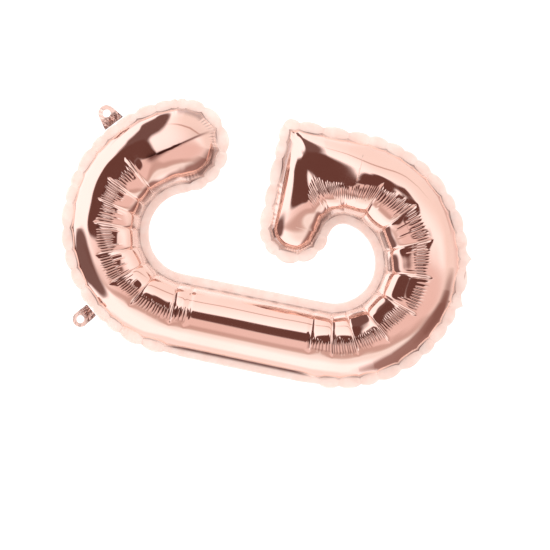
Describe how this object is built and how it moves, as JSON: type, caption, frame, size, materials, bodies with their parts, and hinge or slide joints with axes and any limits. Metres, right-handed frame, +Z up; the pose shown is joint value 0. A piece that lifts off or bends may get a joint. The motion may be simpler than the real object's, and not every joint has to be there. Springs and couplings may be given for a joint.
{
  "type": "foil letter balloon",
  "caption": "Air-filled rose-gold foil letter G balloon with a flat sealed rim, hang tabs, a folded inflation tail and an inner flat valve.",
  "frame": {"origin": "midway between the centres of the two hang holes, in the plane of the sealed rim", "axes": "+Z up the upright letter, +X to the letter's right, and the letter's front faces -Y"},
  "size_m": [0.231, 0.0668, 0.3692],
  "materials": {
    "foil": "mirror-bright rose-gold metallised film",
    "valve_film": "thin milky clear film"
  },
  "bodies": {
    "envelope": {"front_panel": "foil", "back_panel": "foil", "valve_back_film": "valve_film"},
    "left_tab": {"left_hang_tab": "foil"},
    "right_tab": {"right_hang_tab": "foil"},
    "tail": {"tail_front_ply": "foil", "tail_back_ply": "foil"},
    "valve_flap": {"valve_front_film": "valve_film"}
  },
  "joints": [
    {"name": "left_tab_flex", "type": "hinge", "parent": "envelope", "child": "left_tab", "pos_m": [-0.08268, 0, -0.01612], "axis": [0.617, 0, 0.7869], "range_deg": [-80, 80], "stiffness_Nm_per_rad": 0.0001},
    {"name": "right_tab_flex", "type": "hinge", "parent": "envelope", "child": "right_tab", "pos_m": [0.08574, 0, -0.00034], "axis": [0.7524, 0, -0.6587], "range_deg": [-80, 80], "stiffness_Nm_per_rad": 0.0001},
    {"name": "tail_fold", "type": "hinge", "parent": "envelope", "child": "tail", "pos_m": [0.013, 0, -0.3409], "axis": [-1, 0, 0], "range_deg": [0, 250]},
    {"name": "valve_open", "type": "hinge", "parent": "envelope", "child": "valve_flap", "pos_m": [0.013, -0.0003, -0.33], "axis": [1, 0, 0], "range_deg": [0, 8], "stiffness_Nm_per_rad": 0.001}
  ]
}
